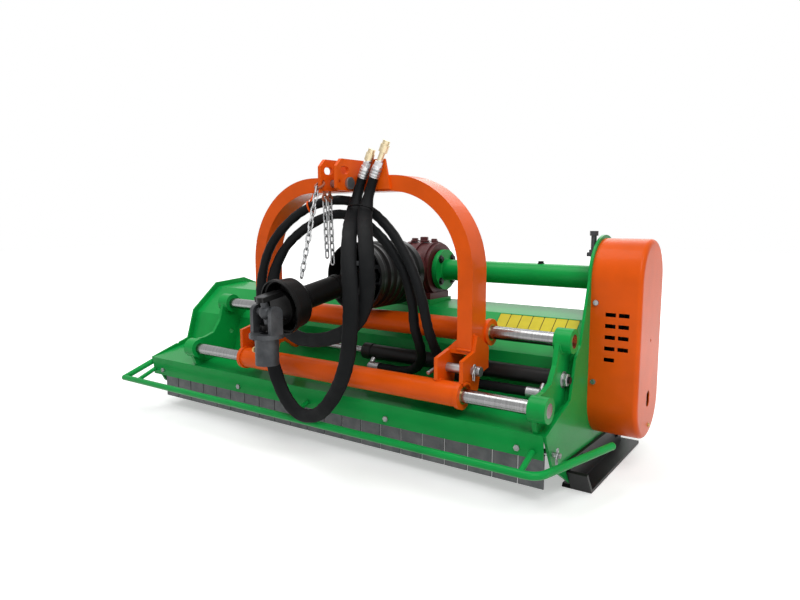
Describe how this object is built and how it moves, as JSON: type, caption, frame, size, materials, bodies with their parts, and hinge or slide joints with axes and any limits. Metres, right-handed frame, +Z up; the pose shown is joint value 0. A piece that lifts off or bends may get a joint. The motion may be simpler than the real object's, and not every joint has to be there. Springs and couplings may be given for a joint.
{
  "type": "flail mower",
  "caption": "Tractor flail mower: folded steel deck with front flaps and rear roller, arched side-shift hitch, telescopic drive shaft and belt-driven flail rotor.",
  "frame": {"origin": "on the ground under the middle of the machine's box", "axes": "+X to the belt cover side, +Y from the tractor hitch towards the roller, +Z up"},
  "size_m": [1.9144, 1.185, 1.0046],
  "materials": {
    "green_paint": "gloss paint",
    "orange_paint": "gloss paint",
    "maroon_casting": "painted casting",
    "black_casting": "painted casting",
    "chromed_steel": "polished chrome",
    "zinc_steel": "zinc plate",
    "bare_steel": "forged and turned",
    "red_iron": "dull paint",
    "black_paint": "satin paint",
    "black_plastic": "moulded plastic",
    "black_rubber": "rubber",
    "hose_sleeve": "woven sleeve over rubber hose",
    "brass": "turned brass"
  },
  "bodies": {
    "deck": {"deck_shell": "green_paint", "left_side_plate": "green_paint", "right_side_plate": "green_paint", "left_shaft_bracket": "green_paint", "right_shaft_bracket": "green_paint", "front_slide_shaft": "chromed_steel", "rear_slide_shaft": "chromed_steel", "axle_tube": "green_paint", "gearbox_pedestal": "green_paint", "gearbox_housing": "maroon_casting", "gearbox_plugs": "zinc_steel", "input_yoke": "bare_steel", "guard_bell": "black_plastic", "belt_cover": "orange_paint", "cover_screws": "chromed_steel", "belt_tensioner": "zinc_steel", "drive_belts": "black_rubber", "front_bumper": "green_paint", "skirt_bolts": "zinc_steel", "flap_rod": "zinc_steel", "rod_clip": "zinc_steel", "left_skid": "black_paint", "right_skid": "black_paint", "roller_brackets": "green_paint", "ram_barrel": "black_paint", "ram_ports": "brass", "rotor_bearings": "black_casting"},
    "rotor": {"rotor_tube": "bare_steel", "rotor_flails": "bare_steel", "rotor_pulley": "black_casting"},
    "drive": {"drive_shaft": "bare_steel", "drive_pulley": "black_casting"},
    "roller": {"rear_roller": "black_paint"},
    "flaps_left": {"left_flaps": "zinc_steel"},
    "flaps_middle": {"middle_flaps": "zinc_steel"},
    "flaps_right": {"right_flaps": "zinc_steel"},
    "hitch": {"hitch_arch": "orange_paint", "front_sleeve": "orange_paint", "rear_sleeve": "orange_paint", "sleeve_bushes": "brass", "left_clevis": "orange_paint", "right_clevis": "orange_paint", "lower_pins": "zinc_steel", "pin_clips": "zinc_steel", "top_bracket": "orange_paint", "top_pin": "zinc_steel", "chain_hook": "red_iron", "coupler_holder": "orange_paint", "quick_couplers": "brass", "ram_rod": "chromed_steel", "safety_chains": "zinc_steel", "hose_long": "hose_sleeve", "hose_short": "hose_sleeve"},
    "shaft_rear": {"rear_cross": "bare_steel", "shaft_rear_half": "black_plastic"},
    "shaft_front": {"shaft_front_half": "black_plastic", "front_guard_cone": "black_plastic", "front_cross": "bare_steel"},
    "yoke": {"tractor_yoke": "bare_steel"},
    "button": {"push_pin": "brass"}
  },
  "joints": [
    {"name": "side_shift", "type": "slide", "parent": "deck", "child": "hitch", "axis": [1, 0, 0], "range_m": [-0.21, 0.19], "deforming": ["hose_long", "hose_short", "safety_chains"]},
    {"name": "shaft_yaw", "type": "hinge", "parent": "deck", "child": "shaft_rear", "pos_m": [0.15825, -0.1575, 0.591], "axis": [0, 0, 1], "range_deg": [-31.4, 28.4]},
    {"name": "shaft_telescope", "type": "slide", "parent": "shaft_rear", "child": "shaft_front", "axis": [0.1084, 0.9759, 0.1891], "range_m": [0, 0.05]},
    {"name": "yoke_swing", "type": "hinge", "parent": "shaft_front", "child": "yoke", "pos_m": [0.11525, -0.5445, 0.516], "axis": [0.9939, -0.1104, 0], "range_deg": [-78, 8]},
    {"name": "pin_press", "type": "slide", "parent": "yoke", "child": "button", "axis": [0.9939, -0.1104, 0], "range_m": [0, 0.006], "stiffness_N_per_m": 1500},
    {"name": "rotor_spin", "type": "hinge", "parent": "deck", "child": "rotor", "pos_m": [0.00025, 0.1945, 0.235], "axis": [1, 0, 0], "continuous": true},
    {"name": "drive_spin", "type": "hinge", "parent": "deck", "child": "drive", "pos_m": [0.00025, 0.1945, 0.591], "axis": [1, 0, 0], "continuous": true},
    {"name": "roller_spin", "type": "hinge", "parent": "deck", "child": "roller", "pos_m": [0.00025, 0.5175, 0.075], "axis": [1, 0, 0], "continuous": true},
    {"name": "flap_swing_left", "type": "hinge", "parent": "deck", "child": "flaps_left", "pos_m": [0.00025, -0.1905, 0.15], "axis": [1, 0, 0], "range_deg": [-45, 70]},
    {"name": "flap_swing_middle", "type": "hinge", "parent": "deck", "child": "flaps_middle", "pos_m": [0.00025, -0.1905, 0.15], "axis": [1, 0, 0], "range_deg": [-45, 70]},
    {"name": "flap_swing_right", "type": "hinge", "parent": "deck", "child": "flaps_right", "pos_m": [0.00025, -0.1905, 0.15], "axis": [1, 0, 0], "range_deg": [-45, 70]}
  ],
  "couplings": [
    {"joint": "shaft_yaw", "follows": "side_shift", "rad_per_m": 2.6},
    {"joint": "drive_spin", "follows": "rotor_spin", "ratio": 0.76471}
  ]
}
